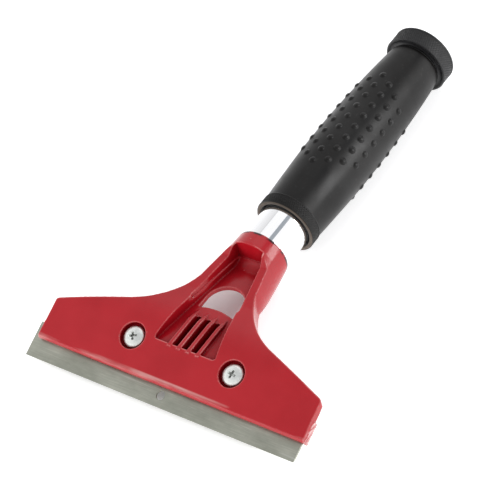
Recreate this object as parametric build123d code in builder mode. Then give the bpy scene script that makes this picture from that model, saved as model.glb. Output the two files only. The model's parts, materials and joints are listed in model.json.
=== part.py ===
"""Floor scraper: a wide clamped blade on a cast head with a short handle.

Frame: millimetres, +Z up, +Y along the handle from the blade to the end cap, +X along the blade.
The origin is the middle of the base of the object's box, and the handle's axis is level.
Sketches lie on four kinds of plane: side, plan and across follow the handle, and plate lies in the
blade's upper face. "Back" is always a distance behind the cutting edge.
"""
from build123d import *
from math import cos, radians, sin, tan
import os

# ---- driving dimensions, mm ----
overall_length = 231.2          # cutting edge to the end cap's rear face
middle_x = 1.9                  # the tool's middle plane: the blade sits off to the left of it
axis_height = 17.4              # handle's axis above the base
edge_drop = 13.68               # cutting edge below the handle's axis
plate_angle = 22.4              # blade and front flange slope down from the handle by this, degrees

blade_width = 150.0
blade_depth = 17.0
blade_thickness = 1.0
blade_offset = -2.9             # blade's middle from the tool's middle plane
blade_hole_radius = 2.2
blade_hole_back = 5.6
bevel_depth = 1.6               # ground bevel under the cutting edge
edge_land = 0.15                # thickness left at the cutting edge

flange_half_front = 74.15
flange_half_back = 73.65
flange_front = 9.1              # along the plate
flange_thickness = 4.2
front_bevel = (1.0, 1.4)        # bevel of the flange's upper front edge: along and down
bend_level = 5.0                # the flange's level rear part above the handle's axis
bend_radius = 44.5
corner_back = 25.5              # the flange's rear corners
corner_radius = 1.5
sweep_corner = (18.9, 45.0)     # where the swept rear edge and the neck's side would meet
sweep_radius = 40.0
rim_rise = 54.0                 # the neck's rim rises from here to the pocket's rear wall
rim_level = 7.9
rim_ramp = [(75.5, 7.3), (82.2, 13.9)]   # where the rim climbs to the top of the neck
rim_half = 10.8                 # half width across the rim at the pocket's rear wall
end_cheek = (1.9, 10.5, 1.5)    # cheek that closes the blade's right end: width, length, depth
seat_pad = (63.0, 17.2, 29.8, 0.7)  # pad behind the blade: half width, front, rear, depth

pocket_front = 24.6
pocket_back = 81.1
pocket_half_front = 16.9
pocket_half_back = 7.15
pocket_floor = -0.5             # floor levels are given from the handle's axis
pocket_front_floor = -0.9
pocket_level_from = 46.0
pocket_sweep = 6.0              # radius between the floor and the rear wall
pocket_corner = 1.2             # plan radii of the front and rear corners
pocket_rear_corner = 2.4
ledge_level = 2.6
ledge_width = 0.55
ledge_front = 49.5
rib_level = 1.1
rib_pitch = 5.2
rib_width = 2.0
rib_count = 4
rib_end = 41.0                  # the rib's level top ends here and slopes to its nose
rib_nose = 47.6
slot_end = 44.4                 # deep slots between the ribs
slot_floor = -3.7
hole_front = 49.2
hole_centre = 55.7
hole_radius = 9.6
hole_bow = 1.6                  # the straight side of the D bows back by this

tub_wall = 2.8                  # casting around and under the pocket
tub_bottom = -5.0
web_thickness = 2.5             # casting left over the hollow under the neck
hollow = [(14.0, 48.0), (13.6, 60.0), (11.6, 69.0), (8.4, 77.0)]    # half width and distance back
hollow_corner = 2.5
skirt_rear = 66.0               # the skirts run on from the flange's swept edge into the neck
under_edge = [(39.5, 0.8), (47.0, -5.0), (60.0, -5.2), (68.0, -7.6), (79.0, -16.5)]

neck_end = 89.2
neck_end_radius = 13.35
neck_end_edge = 0.7
neck_rings = [(81.0, 14.2, 0.75), (62.4, 16.7, 1.0), (54.0, 17.4, 1.0)]     # back, radius, drop of centre
spigot_length = 36.0
spigot_wall = 3.0

tube_radius = 12.5
tube_wall = 1.5
tube_end = 221.6
press_gap = 0.02
turn_gap = 0.03                 # radial clearance of the turning fits

screw_spacing = 55.2
screw_back = 25.5               # along the plate
screw_radius = 2.5
screw_length = 10.0
screw_head_radius = 5.15
screw_head_height = 2.7
screw_dome = 1.0
screw_hole_radius = 2.75
counterbore_radius = 6.45
counterbore_depth = 2.8
cross_length = 5.4
cross_width = 1.1
cross_depth = 1.7

clamp_half = 70.0
clamp_front = 11.4              # along the plate
clamp_rear = 31.0
clamp_thickness = 4.0
clamp_nose = 2.2
clamp_corner = (14.0, 6.0)      # cut off each rear corner: along the blade, and forward
clamp_notch = (20.5, 23.5)      # relief around the pocket's floor: half width, front
seat_gap = 0.02

pin_radius = 2.0
pin_wall = 0.7
pin_slot = 0.8
pin_back = 116.0

grip_front = 106.4
collar_length = 6.0
collar_radius = 15.5
grip_radii = [(112.4, 14.95), (124.0, 15.6), (140.0, 17.0), (156.0, 17.4), (172.0, 17.35),
              (188.0, 16.85), (201.0, 15.3), (213.0, 14.1), (221.2, 13.4)]

cap_front = 222.0
cap_radius = 16.3
cap_edge = 1.0
stem_radius = 6.0
stem_length = 17.0
bush_length = 20.0

# ---- derived ----
edge_y = -overall_length / 2
angle = radians(plate_angle)
rib_places = [(n - (rib_count - 1) / 2) * rib_pitch for n in range(rib_count)]
screw_places = {"screw_left": -screw_spacing / 2, "screw_right": screw_spacing / 2}


def side(x=0.0):
    """Plane facing +X. Its X is the distance back and its Y the level from the handle's axis."""
    return Plane(origin=(middle_x + x, edge_y, axis_height), x_dir=(0, 1, 0), z_dir=(1, 0, 0))


def plan(level=0.0):
    """Level plane. Its X is measured from the middle plane and its Y is the distance back."""
    return Plane(origin=(middle_x, edge_y, axis_height + level), x_dir=(1, 0, 0), z_dir=(0, 0, 1))


def across(back):
    """Plane square to the handle, facing the cutting edge."""
    return Plane(origin=(middle_x, edge_y + back, axis_height), x_dir=(1, 0, 0), z_dir=(0, -1, 0))


def plate(level=0.0):
    """Plane of the blade's upper face, raised by level. Its Y runs back along the plate."""
    normal = Vector(0, -sin(angle), cos(angle))
    edge = Vector(middle_x, edge_y, axis_height - edge_drop)
    return Plane(origin=edge + normal * level, x_dir=(1, 0, 0), z_dir=normal)


def plate_point(back, level):
    """Side-plane coordinates of a point given along and above the plate."""
    return (back * cos(angle) - level * sin(angle), back * sin(angle) + level * cos(angle) - edge_drop)


def pocket_half(back):
    """The pocket's half width at a distance back."""
    share = (back - pocket_front) / (pocket_back - pocket_front)
    return pocket_half_front + share * (pocket_half_back - pocket_half_front)


def save(part, label):
    """Label a finished piece and write it."""
    part.label = label
    export_step(part, f"parts/{label}.step")


os.makedirs("parts", exist_ok=True)

# ---- head: one casting ----
# Points of the casting's side outline.
bevel_low = plate_point(flange_front, flange_thickness - front_bevel[1])
bevel_top = plate_point(flange_front + front_bevel[0], flange_thickness)
bend_start_level = bend_level - bend_radius * (1 - cos(angle))
bend_start = bevel_top[0] + (bend_start_level - bevel_top[1]) / tan(angle)
bend_centre = (bend_start + bend_radius * sin(angle), bend_level - bend_radius)
under_radius = bend_radius - flange_thickness
rim_rear = (pocket_back, rim_level)


def casting_top():
    """Upper side outline of the casting, from the flange's bevel to the rim at the pocket's rear wall."""
    Polyline(bevel_low, bevel_top, (bend_start, bend_start_level))
    CenterArc(bend_centre, bend_radius, 90 + plate_angle, -plate_angle)
    Polyline((bend_centre[0], bend_level), (rim_rise, bend_level), rim_rear)


# The flange, bent from the plate's slope to level.
with BuildPart() as flange:
    with BuildSketch(side(-flange_half_front)):
        with BuildLine():
            casting_top()
            rear_under = (pocket_back, bend_level - flange_thickness)
            Polyline(rim_rear, rear_under, (bend_centre[0], bend_level - flange_thickness))
            under = CenterArc(bend_centre, under_radius, 90, plate_angle)
            Polyline(under @ 1, plate_point(flange_front, seat_gap), bevel_low)
        make_face()
    extrude(amount=2 * flange_half_front)
    with BuildSketch(plan(-axis_height)):
        with BuildLine():
            outline = [(flange_half_front, 0), (flange_half_back, corner_back), sweep_corner,
                       (rim_half, pocket_back)]
            Polyline(*outline, *[(-x, y) for x, y in reversed(outline)], close=True)
        make_face()
        fillet([v for v in vertices() if abs(v.Y - sweep_corner[1]) < 1], sweep_radius)
        fillet([v for v in vertices() if abs(v.Y - corner_back) < 1], corner_radius)
    extrude(amount=2 * axis_height, mode=Mode.INTERSECT)

# The tub that carries the pocket's floor under the flange.
with BuildPart() as tub:
    with BuildSketch(side(-pocket_half_front - tub_wall)):
        with BuildLine():
            casting_top()
            Polyline(rim_rear, (pocket_back, tub_bottom), (pocket_front - tub_wall, tub_bottom),
                     bevel_low)
        make_face()
    extrude(amount=2 * (pocket_half_front + tub_wall))
    with BuildSketch(plan(-axis_height)):
        with BuildLine():
            front = pocket_front - tub_wall
            rear = rim_rise + 6
            corners = [(pocket_half(front) + tub_wall, front), (pocket_half(rear) + tub_wall, rear)]
            Polyline(*corners, *[(-x, y) for x, y in reversed(corners)], close=True)
        make_face()
    extrude(amount=2 * axis_height, mode=Mode.INTERSECT)

# The neck: a widening round socket, cut down to the rim on both sides of the pocket.
with BuildPart() as neck:
    neck_front, front_radius = neck_rings[-1][:2]
    with BuildSketch(across(neck_end)):
        Circle(neck_end_radius - neck_end_edge)
    with BuildSketch(across(neck_end - neck_end_edge)):
        Circle(neck_end_radius)
    for back, radius, drop in neck_rings:
        with BuildSketch(across(back)):
            with Locations((0, -drop)):
                Circle(radius)
    loft(ruled=True)
    with BuildSketch(side(-2 * front_radius)):
        with BuildLine():
            Polyline((neck_front - 1, bend_level), (rim_rise, bend_level), *rim_ramp,
                     (rim_ramp[1][0], 2 * axis_height), (neck_front - 1, 2 * axis_height), close=True)
        make_face()
    extrude(amount=4 * front_radius, mode=Mode.SUBTRACT)

# The skirts: walls under the flange's swept rear edge, which lead into the neck's sides.
with BuildPart() as skirts:
    with BuildSketch(side(-flange_half_front)):
        with BuildLine():
            rear_top = (skirt_rear, bend_level - flange_thickness / 2)
            Polyline((under_edge[0][0], rear_top[1]), rear_top, (skirt_rear, tub_bottom - 2),
                     *reversed(under_edge[:3]), close=True)
        make_face()
    extrude(amount=2 * flange_half_front)
    with BuildSketch(plan(-axis_height)):
        with BuildLine():
            Polyline(*outline, *[(-x, y) for x, y in reversed(outline)], close=True)
        make_face()
        fillet([v for v in vertices() if abs(v.Y - sweep_corner[1]) < 1], sweep_radius)
        with Locations((0, under_edge[0][0])):
            Rectangle(4 * sweep_corner[0], 2 * skirt_rear,
                      align=(Align.CENTER, Align.MIN), mode=Mode.INTERSECT)
    extrude(amount=2 * axis_height, mode=Mode.INTERSECT)

# The pocket's shape: a tapered recess with a sloping front floor and a rounded rear corner.
with BuildPart() as pocket:
    with BuildSketch(side(-pocket_half_front)):
        with BuildLine():
            foot = (pocket_back - pocket_sweep, pocket_floor)
            rise = (pocket_back, pocket_floor + pocket_sweep)
            Polyline(rise, (pocket_back, axis_height), (pocket_front, axis_height),
                     (pocket_front, pocket_front_floor), (pocket_level_from, pocket_floor), foot)
            RadiusArc(foot, rise, -pocket_sweep)
        make_face()
    extrude(amount=2 * pocket_half_front)
    with BuildSketch(plan(-axis_height)):
        with BuildLine():
            corners = [(pocket_half_front, pocket_front), (pocket_half_back, pocket_back)]
            Polyline(*corners, *[(-x, y) for x, y in reversed(corners)], close=True)
        make_face()
        fillet(vertices().sort_by(Axis.Y)[:2], pocket_corner)
        fillet(vertices().sort_by(Axis.Y)[-2:], pocket_rear_corner)
    extrude(amount=2 * axis_height, mode=Mode.INTERSECT)

# The wider upper part of the pocket, which leaves a narrow ledge along both walls.
with BuildPart() as upper_pocket:
    with BuildSketch(plan(ledge_level)):
        with BuildLine():
            corners = [(pocket_half(ledge_front), ledge_front),
                       (pocket_half(ledge_front) + ledge_width, ledge_front + 2 * ledge_width),
                       (pocket_half_back + ledge_width, pocket_back), ]
            Polyline(*corners, *[(-x, y) for x, y in reversed(corners)], close=True)
        make_face()
    extrude(amount=axis_height)

# The ribs on the pocket's floor: level on top, each with a sloping bullet nose towards the hole.
with BuildPart() as ribs:
    rib_front = pocket_front - tub_wall / 2
    with BuildSketch(plan(tub_bottom / 2)):
        for place in rib_places:
            with BuildLine():
                left = (place - rib_width / 2, rib_end)
                right = (place + rib_width / 2, rib_end)
                Polyline(left, (left[0], rib_front), (right[0], rib_front), right)
                tip = (place, rib_nose)
                ThreePointArc(right, (place + rib_width * 0.42, (rib_end + rib_nose) / 2), tip)
                ThreePointArc(tip, (place - rib_width * 0.42, (rib_end + rib_nose) / 2), left)
            make_face()
    extrude(amount=rib_level - tub_bottom / 2)
    with BuildSketch(side(-pocket_half_front)):
        with BuildLine():
            Polyline((rib_end, rib_level), (rib_nose + 1, pocket_floor), (rib_nose + 1, axis_height),
                     (rib_end, axis_height), close=True)
        make_face()
    extrude(amount=2 * pocket_half_front, mode=Mode.SUBTRACT)

with BuildPart() as head:
    add(flange.part)
    add(tub.part)
    add(neck.part)
    add(skirts.part)
    # Pad behind the blade, and the cheek at its right end.
    pad_half, pad_front, pad_rear, pad_depth = seat_pad
    with BuildSketch(plate(-pad_depth)):
        with Locations((0, pad_front)):
            Rectangle(2 * pad_half, pad_rear - pad_front, align=(Align.CENTER, Align.MIN))
    extrude(amount=pad_depth + flange_thickness / 2)
    cheek_width, cheek_length, cheek_depth = end_cheek
    with BuildSketch(plate(-cheek_depth)):
        with Locations((flange_half_front - cheek_width, flange_front)):
            Rectangle(cheek_width, cheek_length, align=(Align.MIN, Align.MIN))
    extrude(amount=cheek_depth + flange_thickness / 2)
    # Pocket, ribs and the D-shaped hole through its floor.
    add(pocket.part, mode=Mode.SUBTRACT)
    add(upper_pocket.part, mode=Mode.SUBTRACT)
    add(ribs.part)
    slot_width = rib_pitch - rib_width
    with BuildSketch(plan(slot_floor)):
        for place in rib_places[1:]:
            with Locations((place - rib_pitch / 2, pocket_front)):
                Rectangle(slot_width, slot_end - slot_width / 2 - pocket_front,
                          align=(Align.CENTER, Align.MIN))
            with Locations((place - rib_pitch / 2, slot_end - slot_width / 2)):
                Circle(slot_width / 2)
    extrude(amount=rib_level - slot_floor, mode=Mode.SUBTRACT)
    with BuildSketch(plan(tub_bottom)):
        with BuildLine():
            left = (-hole_radius, hole_front)
            right = (hole_radius, hole_front)
            ThreePointArc(left, (0, hole_front + hole_bow), right)
            Line(right, (hole_radius, hole_centre))
            CenterArc((0, hole_centre), hole_radius, 0, 180)
            Line((-hole_radius, hole_centre), left)
        make_face()
    extrude(amount=axis_height - tub_bottom, mode=Mode.SUBTRACT)
    # The channel under the neck, open towards the flange: its walls' lower edge rises to the front.
    with BuildSketch(plan(-2 * axis_height)):
        with BuildLine():
            Polyline(*hollow, *[(-x, y) for x, y in reversed(hollow)], close=True)
        make_face()
        fillet(vertices(), hollow_corner)
    extrude(amount=2 * axis_height + pocket_floor - web_thickness, mode=Mode.SUBTRACT)
    with BuildSketch(side(-flange_half_front)):
        with BuildLine():
            Polyline(*under_edge[1:], (under_edge[-1][0], -2 * axis_height),
                     (under_edge[1][0], -2 * axis_height), close=True)
        make_face()
    extrude(amount=2 * flange_half_front, mode=Mode.SUBTRACT)
    # Counterbored screw holes.
    with BuildSketch(plate(flange_thickness - counterbore_depth)):
        with Locations(*[(x, screw_back) for x in screw_places.values()]):
            Circle(counterbore_radius)
    extrude(amount=2 * counterbore_depth, mode=Mode.SUBTRACT)
    with BuildSketch(plate(-2 * pad_depth)):
        with Locations(*[(x, screw_back) for x in screw_places.values()]):
            Circle(screw_hole_radius)
    extrude(amount=flange_thickness, mode=Mode.SUBTRACT)
    # The spigot that fills the front of the handle tube, bored out and cross-drilled for the pin.
    spigot_radius = tube_radius - tube_wall - press_gap
    spigot_end = neck_end + spigot_length
    with BuildSketch(across(neck_end)):
        Circle(spigot_radius)
    extrude(amount=-spigot_length)
    with BuildSketch(across(spigot_end)):
        Circle(spigot_radius - spigot_wall)
    extrude(amount=spigot_length, mode=Mode.SUBTRACT)
    with BuildSketch(side(-tube_radius)):
        with Locations((pin_back, 0)):
            Circle(pin_radius + press_gap)
    extrude(amount=2 * tube_radius, mode=Mode.SUBTRACT)
save(head.part, "head")

# ---- blade ----
with BuildPart() as blade:
    with BuildSketch(plate(-blade_thickness)):
        with Locations((blade_offset, blade_depth / 2)):
            Rectangle(blade_width, blade_depth)
        with Locations((blade_offset, blade_hole_back)):
            Circle(blade_hole_radius, mode=Mode.SUBTRACT)
    extrude(amount=blade_thickness)
    with BuildSketch(side(-blade_width)):
        with BuildLine():
            Polyline(plate_point(0, -edge_land), plate_point(bevel_depth, -blade_thickness),
                     plate_point(-1, -blade_thickness), plate_point(-1, -edge_land), close=True)
        make_face()
    extrude(amount=2 * blade_width, mode=Mode.SUBTRACT)
save(blade.part, "blade")

# ---- clamp plate: the tapped bar under the blade ----
with BuildPart() as clamp_plate:
    with BuildSketch(plate(-blade_thickness)):
        with BuildLine():
            corner_x, corner_y = clamp_corner
            corners = [(clamp_half, clamp_front), (clamp_half, clamp_rear - corner_y),
                       (clamp_half - corner_x, clamp_rear)]
            Polyline(*corners, *[(-x, y) for x, y in reversed(corners)], close=True)
        make_face()
        notch_half, notch_front = clamp_notch
        with Locations((0, notch_front)):
            Rectangle(2 * notch_half, clamp_rear, align=(Align.CENTER, Align.MIN), mode=Mode.SUBTRACT)
        with Locations(*[(x, screw_back) for x in screw_places.values()]):
            Circle(screw_radius + turn_gap, mode=Mode.SUBTRACT)
    extrude(amount=-clamp_thickness)
    nose_edge = clamp_plate.edges().filter_by(Axis.X).sort_by(Axis.Z)[0]
    chamfer(nose_edge, clamp_nose)
save(clamp_plate.part, "clamp_plate")

# ---- clamp screws: pan heads with a cross recess ----
seat_level = flange_thickness - counterbore_depth
for label, place in screw_places.items():
    with BuildPart() as screw:
        with BuildSketch(Plane.XZ):
            with BuildLine():
                rim = (screw_head_radius, screw_head_height - screw_dome)
                Polyline((0, screw_head_height), (0, -screw_length), (screw_radius - 0.4, -screw_length),
                         (screw_radius, 0.4 - screw_length), (screw_radius, 0),
                         (screw_head_radius, 0), rim)
                shoulder = (screw_head_radius * 0.72, screw_head_height - 0.3)
                ThreePointArc(rim, shoulder, (0, screw_head_height))
            make_face()
        revolve(axis=Axis.Z)
        with BuildSketch(Plane.XY.offset(screw_head_height - cross_depth)):
            Rectangle(cross_length, cross_width)
            Rectangle(cross_width, cross_length)
        extrude(amount=screw_head_height, mode=Mode.SUBTRACT)
    seat = plate(seat_level + seat_gap)
    spot = Plane(origin=seat.from_local_coords((place, screw_back, 0)), x_dir=(1, 0, 0), z_dir=seat.z_dir)
    save(spot.location * screw.part, label)

# ---- handle tube, with its cross hole ----
with BuildPart() as handle_tube:
    with BuildSketch(across(neck_end)):
        Circle(tube_radius)
        Circle(tube_radius - tube_wall, mode=Mode.SUBTRACT)
    extrude(amount=neck_end - tube_end)
    with BuildSketch(side(-tube_radius)):
        with Locations((pin_back, 0)):
            Circle(pin_radius + press_gap)
    extrude(amount=2 * tube_radius, mode=Mode.SUBTRACT)
save(handle_tube.part, "handle_tube")

# ---- spring pin that holds the tube on the spigot ----
with BuildPart() as handle_pin:
    with BuildSketch(side(-tube_radius)):
        with Locations((pin_back, 0)):
            Circle(pin_radius)
            Circle(pin_radius - pin_wall, mode=Mode.SUBTRACT)
            Rectangle(pin_radius + 1, pin_slot, align=(Align.MIN, Align.CENTER), mode=Mode.SUBTRACT)
    extrude(amount=2 * tube_radius)
    with BuildSketch(across(neck_end)):
        Circle(tube_radius)
    extrude(amount=-spigot_length, mode=Mode.INTERSECT)
save(handle_pin.part, "handle_pin")

# ---- grip: a rubber sleeve with a collar, as thick as its nubs stand ----
with BuildPart() as grip:
    with BuildSketch(side()):
        with BuildLine():
            inner = tube_radius + press_gap
            collar_back = grip_front + collar_length
            Polyline(grip_radii[0], (collar_back, collar_radius), (grip_front + 1, collar_radius),
                     (grip_front, collar_radius - 1), (grip_front, inner),
                     (grip_radii[-1][0], inner), grip_radii[-1])
            Spline(*grip_radii)
        make_face()
    revolve(axis=Axis(side().origin, (0, 1, 0)))
save(grip.part, "grip")

# ---- bush in the tube's rear end, and the end cap that screws into it ----
with BuildPart() as tube_bush:
    with BuildSketch(across(tube_end)):
        Circle(tube_radius - tube_wall - press_gap)
        Circle(stem_radius + turn_gap, mode=Mode.SUBTRACT)
    extrude(amount=bush_length)
save(tube_bush.part, "tube_bush")

with BuildPart() as end_cap:
    with BuildSketch(across(overall_length)):
        Circle(cap_radius)
    extrude(amount=overall_length - cap_front)
    chamfer(end_cap.edges().filter_by(GeomType.CIRCLE).sort_by(Axis.Y)[-1], cap_edge)
    with BuildSketch(across(cap_front)):
        Circle(stem_radius)
    extrude(amount=stem_length)
save(end_cap.part, "end_cap")
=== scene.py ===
"""Looks of the floor scraper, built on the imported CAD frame. Everything is in metres."""
import json
from math import cos, pi, radians, sin, sqrt

import bmesh
import bpy
import numpy as np
from mathutils import Matrix, Vector


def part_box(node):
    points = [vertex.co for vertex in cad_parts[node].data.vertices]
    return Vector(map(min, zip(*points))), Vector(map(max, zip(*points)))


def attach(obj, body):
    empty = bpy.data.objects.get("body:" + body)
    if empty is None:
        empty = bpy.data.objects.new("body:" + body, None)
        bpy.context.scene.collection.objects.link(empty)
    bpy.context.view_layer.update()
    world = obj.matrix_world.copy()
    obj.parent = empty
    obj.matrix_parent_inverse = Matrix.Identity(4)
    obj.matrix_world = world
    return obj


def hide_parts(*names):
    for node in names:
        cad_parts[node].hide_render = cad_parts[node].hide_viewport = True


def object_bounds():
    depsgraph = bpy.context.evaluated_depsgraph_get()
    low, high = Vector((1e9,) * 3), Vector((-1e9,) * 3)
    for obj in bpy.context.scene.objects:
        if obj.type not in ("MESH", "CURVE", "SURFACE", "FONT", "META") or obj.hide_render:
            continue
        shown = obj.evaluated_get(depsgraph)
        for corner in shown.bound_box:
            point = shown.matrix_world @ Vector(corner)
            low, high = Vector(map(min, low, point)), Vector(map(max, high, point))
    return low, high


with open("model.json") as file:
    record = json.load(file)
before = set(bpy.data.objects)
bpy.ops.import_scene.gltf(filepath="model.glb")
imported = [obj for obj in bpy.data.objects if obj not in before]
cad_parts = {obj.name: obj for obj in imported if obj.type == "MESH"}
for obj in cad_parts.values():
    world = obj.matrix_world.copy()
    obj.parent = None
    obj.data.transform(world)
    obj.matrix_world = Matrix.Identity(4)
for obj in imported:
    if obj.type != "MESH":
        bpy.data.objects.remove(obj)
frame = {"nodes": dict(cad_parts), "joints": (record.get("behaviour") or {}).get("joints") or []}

MM = 0.001
cad_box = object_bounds()
nodes = frame["nodes"]
joints = {joint["name"]: joint for joint in frame["joints"]}

# Distances back are in mm from the cutting edge, and distances across from the handle's axis.
flange_half_width = 74.0
flange_edge_back = 1.5      # band of painted highlight and scraped paint behind the head's front edge
neck_dark_rim_back = 87.8       # the last millimetre of the neck is painted dark: shadow at its joint with the tube, and chipped paint
knurl_diamonds = 80
thread_pitch = 0.8

# The handle's axis and the cutting edge, from the CAD nodes.
tube_low, tube_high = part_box("handle_tube")
axis_x = (tube_low.x + tube_high.x) / 2
axis_z = (tube_low.z + tube_high.z) / 2
edge_y = cad_box[0].y
plate_normal = Vector(joints["screw_left_turn"]["axis"]).normalized()
plate_back = Vector((0, plate_normal.z, -plate_normal.y))


# ---- mesh helpers ----
def add_object(name, mesh, body, stands_for):
    """Put a finished mesh into the scene as a piece that stands for a CAD node."""
    piece = bpy.data.objects.new(name, mesh)
    bpy.context.scene.collection.objects.link(piece)
    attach(piece, body)
    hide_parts(stands_for)
    return piece


def settled(piece, smooth=True):
    """Apply every modifier of a piece and shade it smooth or flat."""
    bpy.context.view_layer.update()
    shown = piece.evaluated_get(bpy.context.evaluated_depsgraph_get())
    mesh = bpy.data.meshes.new_from_object(shown)
    piece.modifiers.clear()
    piece.data = mesh
    mesh.polygons.foreach_set("use_smooth", [smooth] * len(mesh.polygons))
    return piece


def ring_mesh(name, profile, segments, shape=None, closed=False):
    """A mesh turned about the handle's axis.

    profile holds (distance back, radius, relief) in mm, and shape(back, angle) gives the relief's
    height in mm, which relief multiplies. A closed profile joins its last ring to its first.
    """
    turns = np.arange(segments) * 2 * pi / segments
    rings = []
    for back, radius, relief in profile:
        r = np.full(segments, float(radius))
        if relief and shape:
            r += relief * shape(back, turns)
        ring = np.empty((segments, 3))
        ring[:, 0] = axis_x + r * MM * np.sin(turns)
        ring[:, 1] = edge_y + back * MM
        ring[:, 2] = axis_z + r * MM * np.cos(turns)
        rings.append(ring)
    points = np.concatenate(rings)
    faces = []
    count = len(rings)
    for k in range(count if closed else count - 1):
        a, b = k * segments, (k + 1) % count * segments
        faces += [(a + i, a + (i + 1) % segments, b + (i + 1) % segments, b + i)
                  for i in range(segments)]
    if not closed:
        faces += [tuple(reversed(range(segments))),
                  tuple((count - 1) * segments + i for i in range(segments))]
    mesh = bpy.data.meshes.new(name)
    mesh.from_pydata(points.tolist(), [], faces)
    outward = bmesh.new()
    outward.from_mesh(mesh)
    bmesh.ops.recalc_face_normals(outward, faces=outward.faces)
    outward.to_mesh(mesh)
    outward.free()
    mesh.shade_smooth()
    return mesh


def curve_through(points, x):
    """Value at x of a smooth curve through (x, y) points."""
    xs = [p[0] for p in points]
    ys = [p[1] for p in points]
    slopes = [(ys[min(i + 1, len(ys) - 1)] - ys[max(i - 1, 0)]) /
              (xs[min(i + 1, len(xs) - 1)] - xs[max(i - 1, 0)]) for i in range(len(xs))]
    i = max(0, min(len(xs) - 2, sum(x >= v for v in xs) - 1))
    h = xs[i + 1] - xs[i]
    t = (x - xs[i]) / h
    return (ys[i] * (1 + 2 * t) * (1 - t) ** 2 + ys[i + 1] * t * t * (3 - 2 * t)
            + h * slopes[i] * t * (1 - t) ** 2 - h * slopes[i + 1] * t * t * (1 - t))


def knurl(back, turns, across, depth, front):
    """Diamond knurl: across diamonds around, the same pitch along."""
    pitch = 2 * pi * 15.5 / across
    u = turns * across / (2 * pi)
    v = (back - front) / pitch
    rise = np.abs(((u + v) % 1) - 0.5) * 2
    fall = np.abs(((u - v) % 1) - 0.5) * 2
    return -depth * (1 - np.minimum(rise, fall))


# ---- materials ----
class Shader:
    """A node material with short calls for the nodes used here. Coordinates are object coordinates."""

    def __init__(self, name, **values):
        self.material = bpy.data.materials.new(name)
        self.material.use_nodes = True
        self.tree = self.material.node_tree
        self.surface = self.tree.nodes["Principled BSDF"]
        self.where = self.tree.nodes.new("ShaderNodeTexCoord").outputs["Object"]
        for key, value in values.items():
            self.set(key.replace("_", " "), value)

    def put(self, socket, value):
        if isinstance(value, bpy.types.NodeSocket):
            self.tree.links.new(value, socket)
        elif isinstance(value, tuple) and len(value) == 3 and socket.type == "RGBA":
            socket.default_value = (*value, 1)
        else:
            socket.default_value = value

    def set(self, name, value):
        self.put(self.surface.inputs[name], value)

    def add(self, kind, output=0, settings=None, **inputs):
        made = self.tree.nodes.new("ShaderNode" + kind)
        for key, value in (settings or {}).items():
            setattr(made, key, value)
        for key, value in inputs.items():
            index = int(key[1:]) if key[0] == "i" and key[1:].isdigit() else key.replace("_", " ")
            self.put(made.inputs[index], value)
        return made.outputs[output]

    def stretched(self, scale):
        return self.add("VectorMath", settings={"operation": "MULTIPLY"}, i0=self.where, i1=scale)

    def noise(self, scale, detail=2.0, stretch=(1, 1, 1), rough=0.5):
        return self.add("TexNoise", Vector=self.stretched(stretch), Scale=scale,
                        Detail=detail, Roughness=rough)

    def cells(self, scale):
        return self.add("TexVoronoi", Vector=self.stretched((1, 1, 1)), Scale=scale)

    def ramp(self, value, low, high, start=0.0, end=1.0):
        return self.add("MapRange", i0=value, i1=low, i2=high, i3=start, i4=end)

    def maths(self, operation, a, b=0.0):
        return self.add("Math", settings={"operation": operation}, i0=a, i1=b)

    def mix(self, share, a, b):
        made = self.tree.nodes.new("ShaderNodeMix")
        made.data_type = "RGBA"
        self.put(made.inputs[0], share)
        self.put(made.inputs[6], a)
        self.put(made.inputs[7], b)
        return made.outputs[2]

    def part(self, axis):
        return self.add("SeparateXYZ", "XYZ".index(axis), Vector=self.where)

    def openness(self, distance, samples=8, inside=False):
        """1 on open surfaces, lower in corners, or on ridges if measured inside the piece."""
        return self.add("AmbientOcclusion", 1, {"samples": samples, "inside": inside}, Distance=distance)

    def bump(self, height, distance, strength=1.0, under=None):
        made = self.tree.nodes.new("ShaderNodeBump")
        made.inputs["Strength"].default_value = strength
        made.inputs["Distance"].default_value = distance
        self.put(made.inputs["Height"], height)
        if under is not None:
            self.put(made.inputs["Normal"], under)
        return made.outputs[0]


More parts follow.
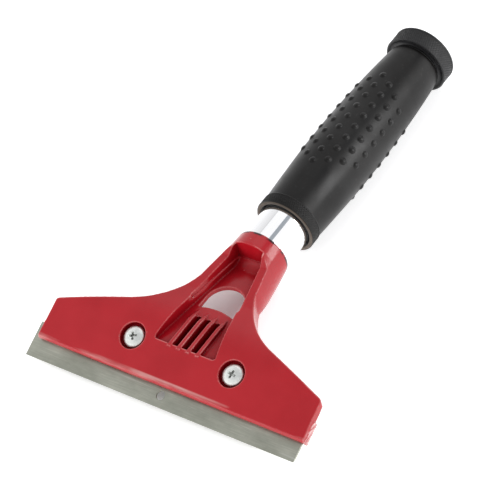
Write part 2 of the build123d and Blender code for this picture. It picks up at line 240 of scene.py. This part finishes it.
def paint_red():
    s = Shader("red_enamel", IOR=1.5)
    cloud = s.noise(55, 3)
    base = s.mix(s.ramp(cloud, 0.35, 0.65), (0.385, 0.0055, 0.012), (0.43, 0.0085, 0.016))
    # sparse light specks of dust and nicks in the paint
    speck = s.ramp(s.cells(190), 0.08, 0.05)
    speck = s.maths("MULTIPLY", speck, s.ramp(s.noise(60, 1), 0.60, 0.63))
    base = s.mix(s.maths("MULTIPLY", speck, 0.4), base, (0.80, 0.38, 0.38))
    # painted highlight on convex edges, partly rubbed paint as well, and painted shade in corners,
    # creases and recesses, where the paint's shine is turned down too
    pointiness = s.add("NewGeometry", 7)
    ridge = s.openness(0.8 * MM, 12, inside=True)
    patchy = s.ramp(s.noise(130, 3), 0.30, 0.62, 0.35, 0.85)
    rubbed_and_highlight = s.maths("MULTIPLY", s.ramp(ridge, 0.88, 0.62), patchy)
    # painted shade: darker, duller paint in recesses and creases
    shade_openness = s.openness(10 * MM)
    base = s.mix(s.ramp(shade_openness, 0.88, 0.35, 0, 0.9), base, (0.16, 0.0010, 0.0035))
    base = s.mix(s.ramp(pointiness, 0.487, 0.455, 0, 0.8), base, (0.10, 0.001, 0.003))
    # painted highlight on convex edges, partly rubbed paint
    base = s.mix(rubbed_and_highlight, base, (0.78, 0.30, 0.29))
    s.set("Specular IOR Level", s.ramp(shade_openness, 0.5, 0.95, 0.03, 0.5))
    # bare and scraped metal on the right end face
    end_x = axis_x + flange_half_width * MM
    right = s.ramp(s.part("X"), end_x - 0.1 * MM, end_x + 0.1 * MM)
    streak = s.ramp(s.noise(260, 4, (1, 1, 6)), 0.42, 0.60)
    worn = s.maths("MULTIPLY", right, streak)
    base = s.mix(s.maths("MULTIPLY", worn, 0.85), base, (0.85, 0.66, 0.64))
    # the front edge: painted highlight along its length, partly scraped paint as well
    front_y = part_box("head")[0].y + flange_edge_back * MM
    front = s.ramp(s.part("Y"), front_y + 0.6 * MM, front_y)
    scraped_and_highlight = s.maths("MULTIPLY", front, s.ramp(s.noise(140, 4, (0.12, 1, 1)), 0.44, 0.60))
    base = s.mix(s.maths("MULTIPLY", scraped_and_highlight, 0.55), base, (0.86, 0.62, 0.58))
    # dark rim where the neck ends: painted shadow at the joint with the tube, and chipped paint
    dark_rim_y = edge_y + neck_dark_rim_back * MM
    neck = s.ramp(s.part("Y"), dark_rim_y - 0.5 * MM, dark_rim_y)
    chipped_and_shadow = s.maths("MULTIPLY", neck, s.ramp(s.noise(200, 3), 0.36, 0.48, 0.1, 1.0))
    base = s.mix(chipped_and_shadow, base, (0.035, 0.003, 0.005))
    s.set("Base Color", base)
    s.set("Roughness", s.ramp(s.noise(140, 3), 0.3, 0.7, 0.12, 0.22))
    peel = s.bump(s.noise(420, 2), 0.00003, 0.25)
    s.set("Normal", s.bump(s.noise(2600, 2), 0.00001, 0.12, peel))
    return s.material


def steel_blade():
    s = Shader("ground_steel", Metallic=1.0)
    fine = s.noise(2600, 3, (0.03, 1, 1))
    coarse = s.noise(420, 3, (0.06, 1, 1))
    tone = s.noise(75, 5, (0.6, 1, 1), 0.65)
    base = s.mix(s.ramp(tone, 0.36, 0.64), (0.42, 0.43, 0.365), (0.60, 0.61, 0.525))
    base = s.mix(s.ramp(fine, 0.35, 0.65, 0, 0.45), base, (0.35, 0.37, 0.30))
    scratch = s.ramp(s.noise(900, 1, (0.05, 0.6, 0.6)), 0.66, 0.72)
    base = s.mix(s.maths("MULTIPLY", scratch, 0.35), base, (0.75, 0.76, 0.70))
    # painted shade along the seam under the flange and inside the hole
    shade_openness = s.openness(2.5 * MM)
    base = s.mix(s.ramp(shade_openness, 0.75, 0.40, 0, 0.7), base, (0.13, 0.11, 0.09))
    s.set("Base Color", base)
    s.set("Roughness", s.ramp(coarse, 0.3, 0.7, 0.34, 0.48))
    s.set("Normal", s.bump(fine, 0.00002, 0.25))
    return s.material


def zinc():
    s = Shader("zinc_plate", Metallic=0.85)
    base = s.mix(s.ramp(s.noise(500, 3), 0.35, 0.65), (0.84, 0.87, 0.84), (0.95, 0.98, 0.95))
    # painted shade in the cross recess and where the head sits in its counterbore
    shade_openness = s.openness(1.2 * MM)
    base = s.mix(s.ramp(shade_openness, 0.80, 0.40, 0, 0.75), base, (0.12, 0.12, 0.11))
    s.set("Base Color", base)
    s.set("Roughness", s.ramp(s.noise(900, 3), 0.3, 0.7, 0.28, 0.5))
    s.set("Normal", s.bump(s.noise(1500, 2), 0.00003, 0.3))
    return s.material


def mill_steel():
    s = Shader("mill_steel", Metallic=1.0)
    base = s.mix(s.ramp(s.noise(120, 4), 0.3, 0.7), (0.30, 0.30, 0.30), (0.42, 0.42, 0.41))
    # painted shade, brownish, where the plate is covered by the blade and the head
    shade_openness = s.openness(3 * MM)
    base = s.mix(s.ramp(shade_openness, 0.97, 0.80, 0, 0.9), base, (0.11, 0.075, 0.055))
    s.set("Base Color", base)
    s.set("Roughness", s.ramp(s.noise(500, 3, (0.1, 1, 1)), 0.3, 0.7, 0.38, 0.6))
    s.set("Normal", s.bump(s.noise(1800, 3, (0.1, 1, 1)), 0.00003, 0.3))
    return s.material


def bright_tube():
    s = Shader("bright_aluminium", Metallic=1.0)
    drawn = s.ramp(s.noise(700, 2, (1, 0.05, 1)), 0.3, 0.7)
    s.set("Base Color", s.mix(drawn, (0.93, 0.94, 0.95), (0.97, 0.97, 0.98)))
    s.set("Roughness", s.ramp(s.noise(900, 3, (1, 0.04, 1)), 0.3, 0.7, 0.05, 0.10))
    return s.material


def spring_steel():
    s = Shader("spring_steel", Metallic=1.0)
    s.set("Base Color", s.mix(s.noise(900, 3), (0.08, 0.08, 0.085), (0.16, 0.16, 0.16)))
    s.set("Roughness", s.ramp(s.noise(1500, 2), 0.3, 0.7, 0.35, 0.55))
    return s.material


def rubber():
    s = Shader("grip_rubber", IOR=1.45)
    cloud = s.noise(45, 4)
    base = s.mix(s.ramp(cloud, 0.3, 0.7), (0.0040, 0.0036, 0.0034), (0.0080, 0.0073, 0.0068))
    dust = s.ramp(s.noise(700, 3), 0.60, 0.75, 0, 0.20)
    base = s.mix(dust, base, (0.05, 0.048, 0.046))
    # lighter brown band on the collar's front face
    front_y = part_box("grip")[0].y
    face = s.ramp(s.part("Y"), front_y + 0.25 * MM, front_y + 0.1 * MM)
    browned = s.maths("MULTIPLY", face, s.ramp(cloud, 0.2, 0.6, 0.35, 0.9))
    base = s.mix(browned, base, (0.13, 0.10, 0.075))
    s.set("Base Color", base)
    s.set("Specular IOR Level", s.ramp(s.noise(28, 4), 0.35, 0.65, 0.26, 0.42))
    s.set("Roughness", s.ramp(s.noise(90, 3), 0.3, 0.7, 0.32, 0.46))
    s.set("Normal", s.bump(s.noise(2200, 3), 0.00003, 0.35))
    return s.material


def moulded(name, dark, light, rough):
    s = Shader(name, IOR=1.46)
    s.set("Base Color", s.mix(s.ramp(s.noise(80, 4), 0.3, 0.7), dark, light))
    s.set("Roughness", s.ramp(s.noise(300, 3), 0.3, 0.7, rough - 0.06, rough + 0.08))
    s.set("Normal", s.bump(s.noise(2400, 2), 0.00002, 0.3))
    return s.material


def lit_outside(s, x, half_x, y, half_y):
    """0 within a rectangle on the floor, rising to 1 at 10 mm outside it."""
    squares = []
    for axis, middle, half in (("X", x, half_x), ("Y", y, half_y)):
        off_middle = s.maths("ABSOLUTE", s.maths("SUBTRACT", s.part(axis), middle))
        outside = s.maths("MAXIMUM", s.maths("SUBTRACT", off_middle, half), 0)
        squares.append(s.maths("MULTIPLY", outside, outside))
    away = s.maths("SQRT", s.maths("ADD", *squares))
    return s.ramp(away, 0.0, 10 * MM)


def plain_floor():
    s = Shader("pale_floor", Roughness=0.9)
    s.set("Base Color", s.mix(s.noise(3, 2), (0.90, 0.90, 0.905), (0.92, 0.92, 0.92)))
    # painted light: the floor glows, except in rectangles under the head and neck, where it barely glows
    # so the tool's own shadow shows
    shade_x = axis_x - 12 * MM
    head = lit_outside(s, shade_x, 57 * MM, edge_y + 20 * MM, 12 * MM)
    neck = lit_outside(s, shade_x, 8 * MM, edge_y + 66 * MM, 10 * MM)
    share = s.maths("MULTIPLY", head, neck)
    s.set("Emission Color", (1.0, 1.0, 1.0))
    s.set("Emission Strength", s.ramp(share, 0.0, 1.0, 0.02, 0.55))
    return s.material


red = paint_red()
blade_metal = steel_blade()
screw_metal = zinc()
plate_metal = mill_steel()
tube_metal = bright_tube()
pin_metal = spring_steel()
grip_rubber = rubber()
cap_plastic = moulded("cap_plastic", (0.007, 0.007, 0.0075), (0.012, 0.012, 0.013), 0.40)
bush_plastic = moulded("bush_plastic", (0.05, 0.05, 0.05), (0.08, 0.08, 0.08), 0.5)


def clothe(piece, material):
    """Give a piece one material in place of any it has."""
    piece.data.materials.clear()
    piece.data.materials.append(material)


clothe(nodes["handle_tube"], tube_metal)
clothe(nodes["handle_pin"], pin_metal)
clothe(nodes["tube_bush"], bush_plastic)


# ---- head: the casting with rounded edges ----
def cast_copy(node, voxel, passes):
    """The node's shape with its edges rounded as a casting's are."""
    mesh = nodes[node].data.copy()
    mesh.name = node + "_cast"
    piece = add_object(node + "_casting", mesh, "handle", node)
    remesh = piece.modifiers.new("remesh", "REMESH")
    remesh.mode = "VOXEL"
    remesh.voxel_size = voxel * MM
    soften = piece.modifiers.new("soften", "SMOOTH")
    soften.factor = 0.5
    soften.iterations = passes
    clothe(settled(piece), red)


cast_copy("head", 0.28, 3)


# ---- blade and clamp plate: flat pieces with slightly broken edges ----
def eased_copy(node, body, width, material):
    """The node's shape with its sharp edges eased by a small bevel."""
    mesh = nodes[node].data.copy()
    work = bmesh.new()
    work.from_mesh(mesh)
    bmesh.ops.remove_doubles(work, verts=work.verts, dist=1e-6)
    bmesh.ops.dissolve_limit(work, angle_limit=radians(2), verts=work.verts, edges=work.edges)
    work.to_mesh(mesh)
    work.free()
    piece = add_object(node + "_eased", mesh, body, node)
    bevel = piece.modifiers.new("bevel", "BEVEL")
    bevel.width = width * MM
    bevel.segments = 2
    bevel.limit_method = "ANGLE"
    bevel.angle_limit = radians(35)
    clothe(settled(piece, smooth=False), material)


eased_copy("blade", "blade", 0.06, blade_metal)
eased_copy("clamp_plate", "clamp_plate", 0.3, plate_metal)


# ---- clamp screws: domed heads with a tapered cross recess, and a real thread ----
def screw_mesh(name):
    """A pan-head screw along +Z, its seat at z = 0. The profile holds (z, radius, threaded) in mm."""
    segments = 96
    turns = np.arange(segments) * 2 * pi / segments
    profile = [(2.62, 0.01, 0), (2.60, 1.2, 0), (2.42, 2.6, 0), (2.12, 3.7, 0), (1.72, 4.55, 0),
               (1.35, 4.98, 0), (1.0, 5.12, 0), (0.5, 5.14, 0), (0.15, 5.10, 0), (0.0, 4.9, 0),
               (0.0, 2.6, 0)]
    steps = 100
    profile += [(-0.3 - 9.3 * k / steps, 2.48, 1) for k in range(steps + 1)]
    profile += [(-9.95, 2.0, 0), (-10.0, 0.01, 0)]
    points = []
    for z, r, threaded in profile:
        phase = (z / thread_pitch - turns / (2 * pi)) % 1
        depth = 0.42 * np.abs(phase * 2 - 1) if threaded else np.zeros(segments)
        radius = r - depth
        points += [(radius[i] * sin(a), radius[i] * cos(a), z) for i, a in enumerate(turns)]
    faces = [tuple(range(segments))]
    for k in range(len(profile) - 1):
        a, b = k * segments, (k + 1) * segments
        faces += [(a + i, b + i, b + (i + 1) % segments, a + (i + 1) % segments)
                  for i in range(segments)]
    faces.append(tuple(reversed(range((len(profile) - 1) * segments, len(profile) * segments))))
    mesh = bpy.data.meshes.new(name)
    mesh.from_pydata([tuple(c * MM for c in p) for p in points], [], faces)
    return mesh


def cross_cutter(name, turn):
    """A tapered cross, turned about Z, that cuts the driver's recess."""
    work = bmesh.new()
    for quarter in (0, pi / 2):
        rings = []
        for z, half, width in ((3.2, 2.55, 0.62), (0.75, 1.05, 0.42)):
            corners = [(-half, -width), (half, -width), (half, width), (-half, width)]
            turned = Matrix.Rotation(turn + quarter, 3, "Z")
            rings.append([work.verts.new(turned @ Vector((x, y, z)) * MM) for x, y in corners])
        top, low = rings
        work.faces.new(top)
        work.faces.new(list(reversed(low)))
        for i in range(4):
            work.faces.new((top[i], low[i], low[(i + 1) % 4], top[(i + 1) % 4]))
    bmesh.ops.recalc_face_normals(work, faces=work.faces)
    mesh = bpy.data.meshes.new(name)
    work.to_mesh(mesh)
    work.free()
    return mesh


def make_screw(label, turn):
    """One clamp screw, with its recess turned by an angle."""
    seat = Vector(joints[label + "_turn"]["pos_m"]) - plate_normal * 0.58 * MM
    lie = Matrix((Vector((1, 0, 0)), plate_back, plate_normal)).transposed().to_4x4()
    place = Matrix.Translation(seat) @ lie
    body = bpy.data.objects.new(label + "_blank", screw_mesh(label + "_blank"))
    bpy.context.scene.collection.objects.link(body)
    cutter = bpy.data.objects.new(label + "_cutter", cross_cutter(label + "_cutter", turn))
    bpy.context.scene.collection.objects.link(cutter)
    cut = body.modifiers.new("cut", "BOOLEAN")
    cut.operation = "DIFFERENCE"
    cut.solver = "EXACT"
    cut.use_self = True
    cut.object = cutter
    remesh = body.modifiers.new("remesh", "REMESH")
    remesh.mode = "VOXEL"
    remesh.voxel_size = 0.08 * MM
    soften = body.modifiers.new("soften", "SMOOTH")
    soften.iterations = 3
    settled(body)
    mesh = body.data
    bpy.data.objects.remove(cutter)
    bpy.data.objects.remove(body)
    mesh.transform(place)
    clothe(add_object(label + "_turned", mesh, label, label), screw_metal)


make_screw("screw_left", radians(24))
make_screw("screw_right", radians(-8))


# ---- grip: rubber sleeve with a knurled collar and two fields of nubs ----
collar_front = (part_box("grip")[0].y - edge_y) / MM
collar_back = collar_front + 6.0
grip_back = (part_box("grip")[1].y - edge_y) / MM
sleeve = [(collar_back, 15.0), (118.4, 15.4), (129.4, 15.93), (140.4, 16.38), (150.0, 16.6),
          (166.0, 16.6), (180.0, 16.2), (194.4, 15.5), (204.4, 14.9), (213.4, 14.15), (grip_back, 13.4)]
nub_pitch = 7.7
nub_turn = radians(21.5)
nub_middle = 166.6
nub_height = 0.8
nub_radius = 1.65
nubs = [(nub_middle + (i - (8 - abs(column)) / 2) * nub_pitch, side + column * nub_turn)
        for side in (0, pi) for column in range(-3, 4) for i in range(9 - abs(column))]


def nub_relief(back, turns):
    """Height of the nubs at one distance back, for every angle."""
    rise = np.zeros(len(turns))
    for nub_back, nub_angle in nubs:
        along = back - nub_back
        if abs(along) > nub_radius * 1.4:
            continue
        around = ((turns - nub_angle + pi) % (2 * pi) - pi) * curve_through(sleeve, back)
        share = np.hypot(along, around) / nub_radius
        dome = np.sqrt(np.clip(1.25 - share * share, 0, None)) - 0.5
        rise = np.maximum(rise, nub_height * np.clip(dome, 0, None) / (sqrt(1.25) - 0.5))
    return rise


def sleeve_relief(back, turns):
    """Knurling on the collar, nubs behind it."""
    if back < collar_back:
        return knurl(back, turns, knurl_diamonds, 0.45, collar_front)
    return nub_relief(back, turns)


def grip_piece():
    inner = (tube_high.x - tube_low.x) / 2 / MM + 0.05
    profile = [(collar_front + 0.9, inner, 0), (collar_front + 0.9, 13.2, 0),
               (collar_front + 0.15, 13.45, 0), (collar_front, 13.7, 0), (collar_front, 14.6, 0),
               (collar_front + 0.2, 15.15, 0), (collar_front + 0.6, 15.45, 0)]
    back = collar_front + 0.8
    while back < collar_back - 0.3:
        profile.append((back, 15.5, 1))
        back += 0.2
    profile += [(collar_back - 0.1, 15.42, 0), (collar_back + 0.05, 15.2, 0)]
    step = 0.35
    count = int((grip_back - 1.0 - collar_back) / step)
    for k in range(1, count):
        back = collar_back + k * step
        profile.append((back, curve_through(sleeve, back), 1))
    end = curve_through(sleeve, grip_back - 1)
    profile += [(grip_back - 0.5, end - 0.15, 0), (grip_back - 0.1, end - 0.5, 0),
                (grip_back, end - 0.9, 0), (grip_back, inner, 0)]
    mesh = ring_mesh("grip_sleeve", profile, 480, sleeve_relief, closed=True)
    clothe(add_object("grip_sleeve", mesh, "handle", "grip"), grip_rubber)


grip_piece()


# ---- end cap: knurled side, eased edges, a stem inside the bush ----
def cap_piece():
    low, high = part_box("end_cap")
    rear = (high.y - edge_y) / MM
    radius = (high.x - low.x) / 2 / MM
    front = rear - 9.2
    tip = (low.y - edge_y) / MM
    stem = 6.0
    profile = [(tip, 0.02, 0), (tip, stem - 0.6, 0), (tip + 0.6, stem, 0), (front, stem, 0),
               (front, stem + 0.3, 0), (front, 12.6, 0), (front + 0.5, 12.9, 0),
               (front + 0.5, 14.9, 0), (front, 15.2, 0), (front, radius - 0.6, 0),
               (front + 0.2, radius - 0.15, 0), (front + 0.5, radius, 0)]
    back = front + 0.7
    while back < rear - 1.4:
        profile.append((back, radius, 1))
        back += 0.2
    profile += [(rear - 1.2, radius, 0), (rear - 0.6, radius - 0.15, 0), (rear - 0.2, radius - 0.5, 0),
                (rear, radius - 1.1, 0), (rear, 12.2, 0), (rear - 0.25, 11.8, 0), (rear - 0.3, 11.0, 0),
                (rear - 0.3, 0.02, 0)]

    def relief(back, turns):
        return knurl(back, turns, knurl_diamonds, 0.40, front)

    mesh = ring_mesh("end_cap_knurled", profile, 480, relief)
    clothe(add_object("end_cap_knurled", mesh, "end_cap", "end_cap"), cap_plastic)


cap_piece()


# ---- floor, light and camera ----
def make_floor():
    size = 6.0
    mesh = bpy.data.meshes.new("floor")
    z = cad_box[0].z - 0.3 * MM
    corners = [(-size, -size, z), (size, -size, z), (size, size, z), (-size, size, z)]
    mesh.from_pydata(corners, [], [(0, 1, 2, 3)])
    floor = bpy.data.objects.new("floor", mesh)
    bpy.context.scene.collection.objects.link(floor)
    mesh.materials.append(plain_floor())


def soft_light(name, place, size, power):
    """A rectangular lamp that faces the middle of the part."""
    data = bpy.data.lights.new(name, "AREA")
    data.shape = "RECTANGLE"
    data.size, data.size_y = size
    data.energy = power
    light = bpy.data.objects.new(name, data)
    light.location = place
    light.rotation_mode = "QUATERNION"
    light.rotation_quaternion = (-Vector(place)).to_track_quat("-Z", "Y")
    bpy.context.scene.collection.objects.link(light)
    return light


def make_sky():
    """White surroundings, dimmer overhead, with a bright and a dark panel in the half behind the tool."""
    world = bpy.data.worlds.new("studio")
    bpy.context.scene.world = world
    world.use_nodes = True
    tree = world.node_tree
    shade = tree.nodes["Background"]
    where = tree.nodes.new("ShaderNodeTexCoord").outputs["Generated"]
    split = tree.nodes.new("ShaderNodeSeparateXYZ")
    tree.links.new(where, split.inputs[0])
    ramp = tree.nodes.new("ShaderNodeValToRGB")
    level, high = ramp.color_ramp.elements
    level.position = 0.0
    level.color = (1.25, 1.25, 1.26, 1)
    high.position = 0.88
    high.color = (0.50, 0.50, 0.51, 1)
    ramp.color_ramp.elements.new(0.70).color = (0.92, 0.92, 0.93, 1)
    tree.links.new(split.outputs["Z"], ramp.inputs["Fac"])

    def maths(operation, a, b):
        made = tree.nodes.new("ShaderNodeMath")
        made.operation = operation
        for socket, value in zip(made.inputs, (a, b)):
            if isinstance(value, bpy.types.NodeSocket):
                tree.links.new(value, socket)
            else:
                socket.default_value = value
        return made.outputs[0]

    # each panel is a band of directions, given by how far they lean from straight up towards +X
    lean = maths("ARCTAN2", split.outputs["X"], split.outputs["Z"])
    behind = maths("GREATER_THAN", split.outputs["Y"], 0.25)

    def panel(under, middle_degrees, half_degrees, color):
        off_middle = maths("ABSOLUTE", maths("SUBTRACT", lean, radians(middle_degrees)), 0)
        inside = maths("LESS_THAN", off_middle, radians(half_degrees))
        mix = tree.nodes.new("ShaderNodeMix")
        mix.data_type = "RGBA"
        tree.links.new(maths("MULTIPLY", inside, behind), mix.inputs[0])
        tree.links.new(under, mix.inputs[6])
        mix.inputs[7].default_value = (*color, 1)
        return mix.outputs[2]

    bright = panel(ramp.outputs["Color"], 16, 44, (1.15, 1.15, 1.16))
    tree.links.new(panel(bright, 24, 8.5, (0.40, 0.43, 0.47)), shade.inputs["Color"])
    shade.inputs["Strength"].default_value = 0.9


def make_camera():
    """Long lens from the front right, above, and rolled."""
    azimuth, elevation, roll = radians(46.27), radians(45.07), radians(-16.77)
    place = (0.6021, -0.6088, 0.8594)
    back = Vector((sin(azimuth) * cos(elevation), -cos(azimuth) * cos(elevation), sin(elevation)))
    level = Vector((cos(azimuth), sin(azimuth), 0))
    right = level * cos(roll) + back.cross(level) * sin(roll)
    up = back.cross(right)
    data = bpy.data.cameras.new("camera")
    data.sensor_width = 36
    data.lens = 187.04
    data.clip_start = 0.05
    camera = bpy.data.objects.new("camera", data)
    turned = Matrix((right, up, back)).transposed().to_4x4()
    camera.matrix_world = Matrix.Translation(place) @ turned
    bpy.context.scene.collection.objects.link(camera)
    bpy.context.scene.camera = camera


make_floor()
make_sky()
soft_light("right", (0.95, 0.60, 0.50), (0.42, 0.60), 5.0)
soft_light("front_left", (-0.60, -0.95, 0.36), (0.55, 0.45), 5.0).visible_glossy = False
make_camera()
bpy.context.scene.view_settings.view_transform = "Standard"
